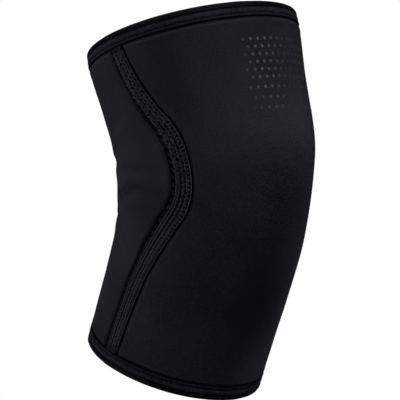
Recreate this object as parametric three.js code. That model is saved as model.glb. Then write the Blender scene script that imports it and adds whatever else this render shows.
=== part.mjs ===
// A neoprene knee sleeve, open at both ends, in the shape that it has on a slightly bent leg.
// Two thick foam panels meet in a curved seam on each side of the knee. A stitched band covers
// each seam, and a folded binding closes the rim at the thigh and the rim at the calf.
//
// +Z is up, the kneecap faces -Y, and left and right are as seen from the front.
// The origin is the centre of the knee. Lengths are in millimetres and angles in degrees.

import * as THREE from 'three';

// The leg that the sleeve is worn on
const lengthAbove = 110; // knee centre to the thigh rim, along the leg
const lengthBelow = 134; // knee centre to the calf rim, along the leg
const bendLength = 112; // stretch of the leg that the bend of the knee takes
const thighLean = 14.5; // how far the thigh leans back
const shinLean = 20; // how far the shin leans back
const thighRadius = 77; // outside of the sleeve at the thigh
const kneeRadius = 69; // outside of the sleeve at the knee
const calfRadius = 64; // outside of the sleeve at the calf

// Foam panels
const wall = 7;
const edgeRound = 0.6; // how far a panel's edge is pressed down beside a band or a hem
const edgeRoundReach = 3;
const jointGap = 0.4; // between the two panels, under the band

// Seam bands
const bandWidth = 14;
const bandThickness = 1.6;
const bandRise = 0.6; // how far the band stands above the panels
const bandGroove = 0.5; // depth of the furrow between its two rows of stitching
const bandGrooveWidth = 1.6;
const bandFlat = 0.88; // share of the half-width at full height, before the edge rounds off

// Folded bindings at the two rims
const hemHeight = 11.5;
const bindingThickness = 1.3;
const hemRise = 0.4; // how far the binding stands above the panels
const hemGrooveAt = 4.8; // the row of stitching, measured from the rim
const hemGroove = 0.5;
const hemGrooveWidth = 1.6;
const hemNose = 2.6; // length of the rounded end of the rim

const clearance = 0.4; // between pieces that touch on the real sleeve

// How finely the curved surfaces are divided
const rowsAlong = 24;
const columnsFront = 20;
const columnsBack = 18;
const hemSegments = 52;
const noseSteps = 4;

// Cross-sections from the calf to the thigh. "at" is a share of the length above or below the
// knee; front, back and side are half-depths and the half-width, as shares of the named radius.
const SECTIONS = [
  { at: -1.0, radius: calfRadius, front: 1.035, back: 0.97, side: 0.995 },
  { at: -0.88, radius: calfRadius, front: 1.045, back: 0.98, side: 1.0 },
  { at: -0.6, radius: calfRadius, front: 1.06, back: 0.985, side: 1.0 },
  { at: -0.33, radius: kneeRadius, front: 1.0, back: 0.93, side: 0.94 },
  { at: 0.0, radius: kneeRadius, front: 1.03, back: 0.95, side: 0.985 },
  { at: 0.2, radius: kneeRadius, front: 1.045, back: 0.975, side: 1.0 },
  { at: 0.6, radius: thighRadius, front: 0.97, back: 0.955, side: 0.93 },
  { at: 0.88, radius: thighRadius, front: 1.0, back: 1.02, side: 0.955 },
  { at: 1.0, radius: thighRadius, front: 0.985, back: 1.01, side: 0.95 },
];

// The seam between the panels, as an angle from the front, and the band's width as a share.
const SEAM = [
  { at: -1.0, angle: 96, width: 0.82 },
  { at: -0.7, angle: 93.2, width: 0.84 },
  { at: -0.5, angle: 90.2, width: 0.88 },
  { at: -0.33, angle: 85, width: 0.93 },
  { at: -0.18, angle: 77, width: 0.97 },
  { at: -0.08, angle: 70.5, width: 1.0 },
  { at: 0.02, angle: 68.2, width: 1.0 },
  { at: 0.2, angle: 71, width: 0.98 },
  { at: 0.32, angle: 75.8, width: 0.95 },
  { at: 0.45, angle: 83.4, width: 0.9 },
  { at: 0.62, angle: 90.2, width: 0.86 },
  { at: 0.8, angle: 94.8, width: 0.83 },
  { at: 1.0, angle: 98, width: 0.82 },
];

// Soft swellings and hollows. Rise is a share of the wall; wide and tall are the distances over
// which it fades, as shares of the knee radius.
const FORMS = [
  { name: 'kneecap', at: 0.08, angle: 0, rise: 0.3, wide: 0.45, tall: 0.5 },
  { name: 'hollow below the kneecap', at: -0.34, angle: 0, rise: -0.16, wide: 0.35, tall: 0.22 },
  { name: 'hollow behind the knee', at: 0.0, angle: 180, rise: -0.5, wide: 0.3, tall: 0.6 },
  { name: 'left cord of the thigh', at: 0.08, angle: -146, rise: 0.16, wide: 0.16, tall: 0.7 },
  { name: 'right cord of the thigh', at: 0.08, angle: 146, rise: 0.16, wide: 0.16, tall: 0.7 },
];

const radians = THREE.MathUtils.degToRad;
const nearby = 0.01; // radians between the points that a slope is measured from

// A place along the leg, in millimetres from the knee, for a table's share.
function alongOf(share) {
  return share * (share < 0 ? lengthBelow : lengthAbove);
}

// Reads a smooth curve through one column of a table.
function readTable(table, value, along) {
  const places = table.map((row) => alongOf(row.at));
  const last = table.length - 1;
  let i = 0;
  while (i < last - 1 && along > places[i + 1]) i += 1;
  const slope = (k) => {
    const before = Math.max(k - 1, 0);
    const after = Math.min(k + 1, last);
    return (value(table[after]) - value(table[before])) / (places[after] - places[before]);
  };
  const span = places[i + 1] - places[i];
  const t = (along - places[i]) / span;
  const start = value(table[i]);
  const end = value(table[i + 1]);
  return start * (2 * t ** 3 - 3 * t ** 2 + 1) + end * (3 * t ** 2 - 2 * t ** 3)
    + span * (slope(i) * (t ** 3 - 2 * t ** 2 + t) + slope(i + 1) * (t ** 3 - t ** 2));
}

// The leg's axis: two straight stretches joined by an arc, in the YZ plane.
function legAxis(along) {
  const half = bendLength / 2;
  const lean = (place) => radians(-shinLean + (thighLean + shinLean) * (place + half) / bendLength);
  const turn = radians(thighLean + shinLean) / bendLength;
  const inBend = THREE.MathUtils.clamp(along, -half, half);
  const angle = lean(inBend);
  const beyond = along - inBend;
  const start = lean(0);
  return {
    lean: angle,
    y: (Math.cos(start) - Math.cos(angle)) / turn + beyond * Math.sin(angle),
    z: (Math.sin(angle) - Math.sin(start)) / turn + beyond * Math.cos(angle),
  };
}

// A point of the outer surface, without the swellings and hollows.
function plainPoint(angle, along) {
  const axis = legAxis(along);
  const size = (key) => readTable(SECTIONS, (row) => row[key] * row.radius, along);
  const depth = Math.cos(angle) * (Math.cos(angle) > 0 ? size('front') : size('back'));
  return new THREE.Vector3(
    Math.sin(angle) * size('side'),
    axis.y - Math.cos(axis.lean) * depth,
    axis.z + Math.sin(axis.lean) * depth,
  );
}

// Straight out from the surface, at right angles to it.
function outward(angle, along) {
  const around = plainPoint(angle + nearby, along).sub(plainPoint(angle - nearby, along));
  const up = plainPoint(angle, along + 1).sub(plainPoint(angle, along - 1));
  return around.cross(up).normalize();
}

// How far the swellings and hollows lift the surface there.
function formRise(angle, along) {
  return FORMS.reduce((sum, form) => {
    const turn = Math.abs(angle - radians(form.angle)) % (2 * Math.PI);
    const across = Math.min(turn, 2 * Math.PI - turn) / form.wide;
    const up = (along - alongOf(form.at)) / (form.tall * kneeRadius);
    return sum + form.rise * wall * Math.exp(-(across ** 2) - up ** 2);
  }, 0);
}

// A point at a given depth below the outer surface.
function surface(angle, along, depth) {
  const rise = formRise(angle, along) - depth;
  return plainPoint(angle, along).addScaledVector(outward(angle, along), rise);
}

// Distance round the leg for each radian, where the seam runs.
function stretchAt(angle, along) {
  const chord = plainPoint(angle + nearby, along).distanceTo(plainPoint(angle - nearby, along));
  return chord / (2 * nearby);
}

// The seam's angle, the angle that one millimetre at right angles to the seam takes, and the
// band's half-width there.
function seamAt(along) {
  const angle = radians(readTable(SEAM, (row) => row.angle, along));
  const stretch = stretchAt(angle, along);
  const drift = radians(readTable(SEAM, (row) => row.angle, along + 1)
    - readTable(SEAM, (row) => row.angle, along - 1)) / 2;
  const tilt = Math.hypot(1, drift * stretch);
  const halfWidth = bandWidth * readTable(SEAM, (row) => row.width, along) / 2;
  return { angle, perMillimetre: tilt / stretch, halfWidth };
}

// Joins rings of equally many points into one closed body. Each ring runs round the piece's
// section; an open row of rings is closed by a cap at each end.
function closedBody(rings, looped) {
  const count = rings[0].length;
  const corners = [];
  const quad = (a, b, c, d) => corners.push(a, b, c, a, c, d);
  const steps = looped ? rings.length : rings.length - 1;
  for (let i = 0; i < steps; i += 1) {
    const here = i * count;
    const next = ((i + 1) % rings.length) * count;
    for (let j = 0; j < count; j += 1) {
      const beside = (j + 1) % count;
      quad(here + j, here + beside, next + beside, next + j);
    }
  }
  if (!looped) {
    const top = (rings.length - 1) * count;
    for (let j = 0; j < count / 2 - 1; j += 1) {
      const across = count - 1 - j;
      quad(j, across, across - 1, j + 1);
      quad(top + j, top + j + 1, top + across - 1, top + across);
    }
  }
  const geometry = new THREE.BufferGeometry().setFromPoints(rings.flat());
  geometry.setIndex(corners);
  geometry.computeVertexNormals();
  return geometry;
}

// Even steps from one value to another, both included.
function steps(from, to, count) {
  return Array.from({ length: count + 1 }, (_, i) => THREE.MathUtils.lerp(from, to, i / count));
}

const hemInside = bindingThickness + clearance; // where a panel ends, measured from the rim
const hemEdge = hemHeight + clearance; // where a panel comes out of the hem
const rebate = bandThickness - bandRise + clearance; // how deep a band is let into the panels
const tongueOuter = bindingThickness - hemRise + clearance;
const tongueInner = wall - bindingThickness - clearance;
const edgeWall = 0.2; // length that an upright step takes

// The levels of a panel from the calf to the thigh, with the depth of its two faces there.
function panelLevels() {
  const rim = [
    { from: hemInside, outer: tongueOuter, inner: tongueInner },
    { from: hemEdge, outer: tongueOuter, inner: tongueInner },
    { from: hemEdge + edgeWall, outer: edgeRound, inner: wall },
    { from: hemEdge + edgeWall + edgeRoundReach / 3, outer: edgeRound / 4, inner: wall },
  ];
  const start = hemEdge + edgeWall + edgeRoundReach;
  const middle = steps(-lengthBelow + start, lengthAbove - start, rowsAlong)
    .map((along) => ({ along, outer: 0, inner: wall }));
  const bottom = rim.map((level) => ({ ...level, along: -lengthBelow + level.from }));
  const top = rim.map((level) => ({ ...level, along: lengthAbove - level.from })).reverse();
  return [...bottom, ...middle, ...top];
}

// The columns beside a seam, in millimetres from it, with the depth of the outer face there.
function seamColumns(halfWidth) {
  return [
    { from: jointGap / 2, depth: rebate },
    { from: halfWidth + clearance, depth: rebate },
    { from: halfWidth + clearance + edgeWall, depth: edgeRound },
    { from: halfWidth + clearance + edgeWall + edgeRoundReach / 3, depth: edgeRound / 4 },
  ];
}

// One foam panel. Its two long edges follow the seams; "turn" is where its middle lies.
function panel(turn, columns) {
  const rings = panelLevels().map((level) => {
    const seam = seamAt(level.along);
    const reach = turn === 0 ? seam.angle : Math.PI - seam.angle;
    const side = seamColumns(seam.halfWidth);
    const plainFrom = seam.halfWidth + clearance + edgeWall + edgeRoundReach;
    const plainReach = reach - plainFrom * seam.perMillimetre;
    const left = side.map((column) => ({
      angle: -reach + column.from * seam.perMillimetre,
      depth: column.depth,
    }));
    const middle = steps(-plainReach, plainReach, columns).map((angle) => ({ angle, depth: 0 }));
    const right = left.map((column) => ({ angle: -column.angle, depth: column.depth })).reverse();
    const across = [...left, ...middle, ...right];
    const outer = across.map((column) => (
      surface(turn + column.angle, level.along, Math.max(level.outer, column.depth))
    ));
    const inner = across.map((column) => surface(turn + column.angle, level.along, level.inner));
    return [...outer, ...inner.reverse()];
  });
  return closedBody(rings, false);
}

// The stitched band over one seam; "side" is 1 on the right and -1 on the left.
function seamBand(side) {
  const shape = [
    { across: -1, depth: 0 },
    { across: -bandFlat, depth: -bandRise },
    { groove: -1, depth: -bandRise },
    { groove: 0, depth: bandGroove - bandRise },
    { groove: 1, depth: -bandRise },
    { across: bandFlat, depth: -bandRise },
    { across: 1, depth: 0 },
  ];
  const levels = steps(-lengthBelow + hemEdge, lengthAbove - hemEdge, rowsAlong);
  const rings = levels.map((along) => {
    const seam = seamAt(along);
    const place = (point) => {
      const inGroove = 'groove' in point;
      const from = inGroove ? point.groove * bandGrooveWidth / 2 : point.across * seam.halfWidth;
      return side * seam.angle + from * seam.perMillimetre;
    };
    const outer = shape.map((point) => surface(place(point), along, point.depth));
    const inner = shape.map((point) => surface(place(point), along, bandThickness - bandRise));
    return [...outer, ...inner.reverse()];
  });
  return closedBody(rings, false);
}

// The folded binding at one rim; "side" is 1 at the thigh and -1 at the calf. Its section is a
// channel with the panels' edges in it: the outer face with its row of stitching, a round nose,
// the inner face, and the inside of the channel.
function hem(side) {
  const groove = hemGrooveWidth / 2;
  const noseHalf = (wall + hemRise) / 2;
  const nose = steps(0, Math.PI, noseSteps).map((turn) => ({
    from: hemNose * (1 - Math.sin(turn)),
    depth: noseHalf * (1 - Math.cos(turn)) - hemRise,
  }));
  const section = [
    { from: hemHeight, depth: -hemRise / 2 },
    { from: hemGrooveAt + groove, depth: -hemRise },
    { from: hemGrooveAt, depth: hemGroove - hemRise },
    { from: hemGrooveAt - groove, depth: -hemRise },
    ...nose,
    { from: hemHeight, depth: wall },
    { from: hemHeight, depth: wall - bindingThickness },
    { from: bindingThickness, depth: wall - bindingThickness },
    { from: bindingThickness, depth: bindingThickness - hemRise },
    { from: hemHeight, depth: bindingThickness - hemRise },
  ];
  const rimAt = side > 0 ? lengthAbove : -lengthBelow;
  const rings = steps(0, 2 * Math.PI, hemSegments).slice(0, -1).map((angle) => {
    const ring = section.map((point) => surface(angle, rimAt - side * point.from, point.depth));
    return side > 0 ? ring.reverse() : ring;
  });
  return closedBody(rings, true);
}

// Makes one named piece in its own material.
function piece(name, geometry, color, roughness) {
  const material = new THREE.MeshStandardMaterial({ color, roughness, metalness: 0 });
  const mesh = new THREE.Mesh(geometry, material);
  mesh.name = name;
  return mesh;
}

const jerseyBlack = 0x17171b;
const bandBlack = 0x1b1c21;
const bindingBlack = 0x0f0f13;

const sleeve = new THREE.Group();
sleeve.add(
  piece('front_panel', panel(0, columnsFront), jerseyBlack, 0.85),
  piece('back_panel', panel(Math.PI, columnsBack), jerseyBlack, 0.85),
  piece('seam_band_left', seamBand(-1), bandBlack, 0.9),
  piece('seam_band_right', seamBand(1), bandBlack, 0.9),
  piece('thigh_hem', hem(1), bindingBlack, 0.8),
  piece('calf_hem', hem(-1), bindingBlack, 0.8),
);

export default sleeve;
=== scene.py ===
import math

import bpy
import numpy as np
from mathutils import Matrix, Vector, noise


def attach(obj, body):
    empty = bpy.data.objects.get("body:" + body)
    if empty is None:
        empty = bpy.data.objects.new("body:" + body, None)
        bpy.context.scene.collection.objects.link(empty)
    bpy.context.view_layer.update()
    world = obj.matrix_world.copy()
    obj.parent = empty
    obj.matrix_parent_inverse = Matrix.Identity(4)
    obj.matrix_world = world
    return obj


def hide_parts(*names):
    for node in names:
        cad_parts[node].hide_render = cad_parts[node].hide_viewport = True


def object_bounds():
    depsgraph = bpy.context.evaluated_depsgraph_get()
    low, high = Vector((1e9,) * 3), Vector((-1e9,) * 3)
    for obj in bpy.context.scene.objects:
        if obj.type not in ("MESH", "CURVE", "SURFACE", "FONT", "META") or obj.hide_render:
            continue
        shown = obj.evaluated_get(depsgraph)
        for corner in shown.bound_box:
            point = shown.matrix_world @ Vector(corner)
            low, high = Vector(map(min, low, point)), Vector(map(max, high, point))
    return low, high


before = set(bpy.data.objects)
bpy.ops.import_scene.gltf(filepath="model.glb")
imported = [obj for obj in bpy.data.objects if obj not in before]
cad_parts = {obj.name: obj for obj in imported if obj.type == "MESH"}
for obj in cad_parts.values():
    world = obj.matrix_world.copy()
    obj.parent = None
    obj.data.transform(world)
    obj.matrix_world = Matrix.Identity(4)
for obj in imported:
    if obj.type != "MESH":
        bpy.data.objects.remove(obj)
cad_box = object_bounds()

# The front panel is seven millimetres of foam rubber with black jersey bonded to both faces. It is
# cut wide at the thigh and the calf and narrow beside the kneecap. A sleeve takes its shape from
# the leg: two straight stretches joined by an arc at the knee, with oval cross-sections.

MM = 0.001
LENGTH_ABOVE = 0.110
LENGTH_BELOW = 0.134
BEND_LENGTH = 0.112
THIGH_LEAN = math.radians(14.5)
SHIN_LEAN = math.radians(20)
THIGH_RADIUS = 0.077
KNEE_RADIUS = 0.069
CALF_RADIUS = 0.064
WALL = 0.007
CLEARANCE = 0.0004
JOINT_GAP = 0.0004
SMALL_TURN = 0.01

# The band and the binding that the panel's edges are let into
BAND_WIDTH = 0.014
BAND_THICKNESS = 0.0016
BAND_RISE = 0.0006
HEM_HEIGHT = 0.0115
BINDING = 0.0013
HEM_RISE = 0.0004

# at, radius, then front, back and side as shares of it
SECTIONS = [
    (-1.0, CALF_RADIUS, 1.035, 0.97, 0.995),
    (-0.88, CALF_RADIUS, 1.045, 0.98, 1.0),
    (-0.6, CALF_RADIUS, 1.06, 0.985, 1.0),
    (-0.33, KNEE_RADIUS, 1.0, 0.93, 0.94),
    (0.0, KNEE_RADIUS, 1.03, 0.95, 0.985),
    (0.2, KNEE_RADIUS, 1.045, 0.975, 1.0),
    (0.6, THIGH_RADIUS, 0.97, 0.955, 0.93),
    (0.88, THIGH_RADIUS, 1.0, 1.02, 0.955),
    (1.0, THIGH_RADIUS, 0.985, 1.01, 0.95),
]

# at, angle of the seam from the front, the band's width as a share
SEAM = [
    (-1.0, 96, 0.82),
    (-0.7, 93.2, 0.84),
    (-0.5, 90.2, 0.88),
    (-0.33, 85, 0.93),
    (-0.18, 77, 0.97),
    (-0.08, 70.5, 1.0),
    (0.02, 68.2, 1.0),
    (0.2, 71, 0.98),
    (0.32, 75.8, 0.95),
    (0.45, 83.4, 0.9),
    (0.62, 90.2, 0.86),
    (0.8, 94.8, 0.83),
    (1.0, 98, 0.82),
]

# name, at, angle, rise as a share of the wall, wide and tall as shares of the knee's radius
FORMS = [
    ("kneecap", 0.08, 0, 0.3, 0.45, 0.5),
    ("top of the kneecap", 0.21, 2, 0.62, 0.5, 0.27),
    ("hollow below the kneecap", -0.34, 0, -0.24, 0.4, 0.24),
    ("hollow behind the knee", 0.0, 180, -0.5, 0.3, 0.6),
    ("left cord of the thigh", 0.08, -146, 0.16, 0.16, 0.7),
    ("right cord of the thigh", 0.08, 146, 0.16, 0.16, 0.7),
]

# Creases that the bend presses into the foam, alike on both sides of the leg: at, angle, slope
# from level in degrees, then half-length, half-width and rise in millimetres
CREASES = [
    (0.02, 126, 70, 20, 4.0, -0.6),
    (-0.08, 114, -14, 23, 5.0, -2.0),
    (0.2, 134, -10, 26, 6.0, -0.8),
    (0.1, 104, 14, 15, 4.2, -1.5),
    (-0.22, 146, 12, 24, 6.0, -0.8),
    (-0.34, 116, 24, 18, 4.5, -1.0),
    (0.42, 118, -28, 20, 5.0, -1.1),
]

# How much a crease wavers along its run, how bluntly it ends, and the swellings on either side
CREASE_WAVER = 0.35
WAVER_RATE = 1.7
WAVER_SHIFT = 9
CREASE_END = 2.6
BROW_AT = 1.7
BROW_RISE = 0.45

# Painted light and shade on the front of the leg, lighter over the top of the kneecap, the thigh and
# low on the shin, darker down the shin: at, angle, painted shade (below 0 painted light), wide and
# tall as shares of the knee's radius
FRONT_PAINTED_LIGHT = [
    (0.3, -8, -0.85, 0.5, 0.34),
    (0.62, 0, -0.2, 0.7, 0.5),
    (-0.46, -12, 0.8, 0.36, 0.64),
    (-0.8, -4, -0.55, 0.28, 0.28),
]

# The same painted light and shade for patches that lie alike on both sides of the leg
SIDE_PAINTED_LIGHT = [
    (0.8, 125, 0.3, 0.5, 0.4),
    (0.66, 70, 0.22, 0.35, 0.5),
    (0.0, 66, -0.35, 0.45, 0.6),
    (-0.75, 60, -0.3, 0.4, 0.4),
    (-0.2, 130, -0.4, 0.9, 1.1),
    (-0.06, 90, 0.6, 0.3, 0.3),
]


def along_of(share):
    """A place along the leg for a share of the length above or below the knee."""
    return share * (LENGTH_BELOW if share < 0 else LENGTH_ABOVE)


def read_table(table, value, along):
    """A smooth curve through one column of a table, at every place in along."""
    places = np.array([along_of(row[0]) for row in table])
    values = np.array([value(row) for row in table])
    slopes = np.gradient(values, places)
    slopes[1:-1] = (values[2:] - values[:-2]) / (places[2:] - places[:-2])
    i = np.clip(np.searchsorted(places, along, side="left") - 1, 0, len(places) - 2)
    span = places[i + 1] - places[i]
    t = (along - places[i]) / span
    ease = 3 * t**2 - 2 * t**3
    bend = slopes[i] * (t**3 - 2 * t**2 + t) + slopes[i + 1] * (t**3 - t**2)
    return values[i] * (1 - ease) + values[i + 1] * ease + span * bend


def leg_axis(along):
    """Lean, y and z of the leg's axis."""
    half = BEND_LENGTH / 2
    turn = (THIGH_LEAN + SHIN_LEAN) / BEND_LENGTH
    in_bend = np.clip(along, -half, half)
    lean = -SHIN_LEAN + turn * (in_bend + half)
    beyond = along - in_bend
    start = -SHIN_LEAN + turn * half
    y = (math.cos(start) - np.cos(lean)) / turn + beyond * np.sin(lean)
    z = (np.sin(lean) - math.sin(start)) / turn + beyond * np.cos(lean)
    return lean, y, z


def plain_point(angle, along):
    """A point on the plain oval tube; the angle runs from the front of the leg."""
    lean, y, z = leg_axis(along)
    front = read_table(SECTIONS, lambda row: row[1] * row[2], along)
    back = read_table(SECTIONS, lambda row: row[1] * row[3], along)
    side = read_table(SECTIONS, lambda row: row[1] * row[4], along)
    depth = np.cos(angle) * np.where(np.cos(angle) > 0, front, back)
    x = np.sin(angle) * side
    return np.stack([x, y - np.cos(lean) * depth, z + np.sin(lean) * depth], axis=-1)


def chord_around(angle, along):
    """A short step round the tube through each point, twice SMALL_TURN long in angle."""
    return plain_point(angle + SMALL_TURN, along) - plain_point(angle - SMALL_TURN, along)


def outward(angle, along):
    """The direction straight out of the plain tube."""
    up = plain_point(angle, along + MM) - plain_point(angle, along - MM)
    normal = np.cross(chord_around(angle, along), up)
    return normal / np.linalg.norm(normal, axis=-1, keepdims=True)


def bell(distance, width):
    """1 at no distance, and falling softly to 0 over about twice the width."""
    return np.exp(-((distance / width) ** 2))


def soft_spot(angle, along, at, centre, wide, tall):
    """1 at one place on the leg, and falling softly to 0 all round it."""
    turn = np.abs(angle - math.radians(centre)) % (2 * math.pi)
    across = np.minimum(turn, 2 * math.pi - turn)
    return bell(across, wide) * bell(along - along_of(at), tall * KNEE_RADIUS)


def form_rise(angle, along):
    """How far the broad forms of the knee stand above the plain tube."""
    rise = np.zeros(np.broadcast(angle, along).shape)
    for _, at, centre, share, wide, tall in FORMS:
        rise = rise + share * WALL * soft_spot(angle, along, at, centre, wide, tall)
    return rise


def painted_light_patches(angle, along):
    """Painted shade from the patches at each place, below 0 where it is painted light."""
    depth = np.zeros(np.broadcast(angle, along).shape)
    mirrored = [(at, -centre, *rest) for at, centre, *rest in SIDE_PAINTED_LIGHT]
    for at, centre, amount, wide, tall in FRONT_PAINTED_LIGHT + SIDE_PAINTED_LIGHT + mirrored:
        depth = depth + amount * soft_spot(angle, along, at, centre, wide, tall)
    return depth


def crease_rise(angle, along):
    """Each crease is a valley with a low swelling on either side, and it wavers a little."""
    rise = np.zeros(np.broadcast(angle, along).shape)
    for at, centre, slope, length, width, height in CREASES:
        tilt = math.radians(slope)
        for side in (-1, 1):
            turn = angle - side * math.radians(centre)
            across = ((turn + math.pi) % (2 * math.pi) - math.pi) * KNEE_RADIUS * side
            up = along - along_of(at)
            run = (across * math.cos(tilt) + up * math.sin(tilt)) / (length * MM)
            off = (up * math.cos(tilt) - across * math.sin(tilt)) / (width * MM)
            off = off + CREASE_WAVER * np.sin(run * WAVER_RATE + at * WAVER_SHIFT)
            valley = bell(off, 1) - BROW_RISE * bell(np.abs(off) - BROW_AT, 1)
            rise = rise + height * MM * valley * np.exp(-(np.abs(run) ** CREASE_END))
    return rise


def surface(angle, along, depth):
    """A point at a given depth below the sleeve's outer surface."""
    rise = form_rise(angle, along) + crease_rise(angle, along) - depth
    return plain_point(angle, along) + outward(angle, along) * rise[..., None]


def seam_at(along):
    """The seam's angle, the angle that a metre at right angles to it takes, and the half-width."""
    angle = np.radians(read_table(SEAM, lambda row: row[1], along))
    stretch = np.linalg.norm(chord_around(angle, along), axis=-1) / (2 * SMALL_TURN)
    ahead = np.radians(read_table(SEAM, lambda row: row[1], along + MM))
    behind = np.radians(read_table(SEAM, lambda row: row[1], along - MM))
    tilt = np.hypot(1, (ahead - behind) / (2 * MM) * stretch)
    half_width = BAND_WIDTH * read_table(SEAM, lambda row: row[2], along) / 2
    return angle, tilt / stretch, half_width


def uneven(points, size, seed):
    """Soft unevenness between about -1 and 1, the same on each run."""
    places = points.reshape(-1, 3) / size + seed
    return np.array([noise.noise(Vector(p)) for p in places]).reshape(points.shape[:-1])


def arc_lengths(points, axis):
    """Distance travelled over a grid of points along one of its two directions."""
    steps = np.linalg.norm(np.diff(points, axis=axis), axis=-1)
    start = np.zeros_like(np.take(steps, [0], axis=axis))
    return np.concatenate([start, np.cumsum(steps, axis=axis)], axis=axis)


def placed(name, data):
    """An object in the scene for a mesh, a light or the camera."""
    thing = bpy.data.objects.new(name, data)
    bpy.context.collection.objects.link(thing)
    return thing


def sewn_body(name, rings, uv, hollow, round_length=0.0):
    """Joins rings of equally many points into one closed body, whose cloth runs as uv says.
    With a round_length the rings go all the way round the leg, and that is the distance.
    hollow is painted shade, up to 1 where a stitch pulls the cloth in and shade falls in the groove,
    and below 0 it is painted light."""
    total, count = rings.shape[:2]
    looped = round_length > 0
    steps = total if looped else total - 1
    i = np.arange(steps)[:, None]
    j = np.arange(count)[None, :]
    here = i * count
    ahead = ((i + 1) % total) * count
    beside = (j + 1) % count
    faces = np.stack([here + j, here + beside, ahead + beside, ahead + j], -1).reshape(-1, 4)
    if not looped:
        k = np.arange(count // 2 - 1)
        far = count - 1 - k
        top = (total - 1) * count
        low_cap = np.stack([k, far, far - 1, k + 1], -1)
        high_cap = np.stack([top + k, top + k + 1, top + far - 1, top + far], -1)
        faces = np.concatenate([faces, low_cap, high_cap])
    mesh = bpy.data.meshes.new(name)
    mesh.from_pydata(rings.reshape(-1, 3).tolist(), [], faces.tolist())
    corners = uv.reshape(-1, 2)[faces.reshape(-1)].copy()
    if looped:
        last = slice((steps - 1) * count * 4, steps * count * 4)
        corners[last, 0] += (faces.reshape(-1)[last] < count) * round_length
    layer = mesh.uv_layers.new(name="cloth")
    layer.data.foreach_set("uv", corners.astype(np.float32).reshape(-1))
    # The hollow attribute carries the painted shade and painted light to the cloth's material
    deep = mesh.attributes.new("hollow", "FLOAT", "POINT")
    deep.data.foreach_set("value", hollow.astype(np.float32).reshape(-1))
    mesh.polygons.foreach_set("use_smooth", np.ones(len(faces), dtype=bool))
    mesh.update()
    return placed(name, mesh)


def two_faced(outer, inner, uv, hollow):
    """Rings that run over the outer face and back along the inner one, with their cloth."""
    rings = np.concatenate([outer, inner[:, ::-1]], axis=1)
    uv = np.concatenate([uv, uv[:, ::-1]], axis=1)
    hollow = np.concatenate([hollow, np.zeros_like(hollow)], axis=1)
    return rings, uv, hollow


HEM_INSIDE = BINDING + CLEARANCE
HEM_EDGE = HEM_HEIGHT + CLEARANCE
REBATE = BAND_THICKNESS - BAND_RISE + CLEARANCE
TONGUE_OUTER = BINDING - HEM_RISE + CLEARANCE
TONGUE_INNER = WALL - BINDING - CLEARANCE
STEP_DOWN = 0.05 * MM
NEAR_EDGE = np.array([0.05, 0.25, 0.5, 0.8, 1.15, 1.6, 2.1, 2.7, 3.4, 4.3, 5.4, 6.6]) * MM
ROW_STEP = 1.1 * MM
STITCH_PITCH = 2.9 * MM

# The stitching presses the foam down at its edges, deepest on the back panel below the knee, and
# the foam swells beside them. Above the knee the slack foam puckers along the seam.
SEAM_PRESS = 0.85 * MM
TUCK_BEHIND = 0.9 * MM
HEM_PRESS = 0.8 * MM
PRESS_REACH = 1.1 * MM
SWELLING = 0.28 * MM
SWELLING_AT = 3.1 * MM
SWELLING_WIDTH = 2.0 * MM
PUCKER = 0.12 * MM
SLACK_PUCKER = 0.3 * MM
PUCKER_SIZE = 4.2 * MM
PUCKER_REACH = 2.6 * MM
TUG = 0.07 * MM
BEND_EASE = 0.03
SLACK_FROM = 0.01
BUMP_SIZE = 30 * MM
BUMP_HEIGHT = 0.35 * MM

# The painted shade line along a panel's edge at the seam: its width above the knee and what is added
# below, how much its width ripples with the stitches above and below the knee, and then the painted
# shade line at the hems
SHADE_LINE_WIDTHS = {"front": (0.5 * MM, 0.4 * MM), "back": (1.0 * MM, 1.5 * MM)}
RIPPLE = 0.45
LOW_RIPPLE = 0.15
HEM_SHADE_LINE = 0.8
HEM_SHADE_LINE_WIDTH = 0.8 * MM

# Painted highlights on the swellings beside the hems and the front panel's seams: how bright, at,
# half-width
HEM_PAINTED_HIGHLIGHT = (0.8, 2.1 * MM, 0.7 * MM)
SEAM_PAINTED_HIGHLIGHT = (0.35, 2.2 * MM, 0.8 * MM)


def edge_share(away, reach, power):
    """1 at an edge, falling to 0 beyond the reach, and more squarely with a higher power."""
    return np.exp(-((np.maximum(away, 0) / reach) ** power))


def pillow(away, press):
    """Depth of a panel's face at a distance from the stitched edge that presses it down."""
    swelling = SWELLING * bell(np.maximum(away, 0) - SWELLING_AT, SWELLING_WIDTH)
    return press * edge_share(away, PRESS_REACH, power=1.25) - swelling


def cloth_bumps(place):
    """Slow unevenness of the foam under its jersey."""
    return uneven(place, BUMP_SIZE, seed=5) * BUMP_HEIGHT


def panel_depth(turn, angle, places, from_seam, from_hem):
    """Depth of a panel's face, and of the ledges that the band and the binding lie on."""
    plain = plain_point(angle, places)
    slack = np.clip((places - SLACK_FROM) / BEND_EASE, 0, 1)
    low = np.clip(-places / BEND_EASE, 0, 1)
    near_seam = edge_share(from_seam, PUCKER_REACH, power=1.2)
    pucker = uneven(plain, PUCKER_SIZE, seed=11) * near_seam * (PUCKER + SLACK_PUCKER * slack)
    tug = np.sin(2 * math.pi * places / STITCH_PITCH) * near_seam * TUG
    seam_press = SEAM_PRESS + TUCK_BEHIND * low * (turn > 0)
    pressed = pillow(from_seam, seam_press) + pillow(from_hem, HEM_PRESS)
    face = pressed - pucker - tug - cloth_bumps(plain)
    under_band = np.where(from_seam < 0, REBATE, face)
    tongue = np.where(from_seam < 0, max(REBATE, TONGUE_OUTER), TONGUE_OUTER)
    return np.where(from_hem < 0, tongue, under_band)


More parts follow.
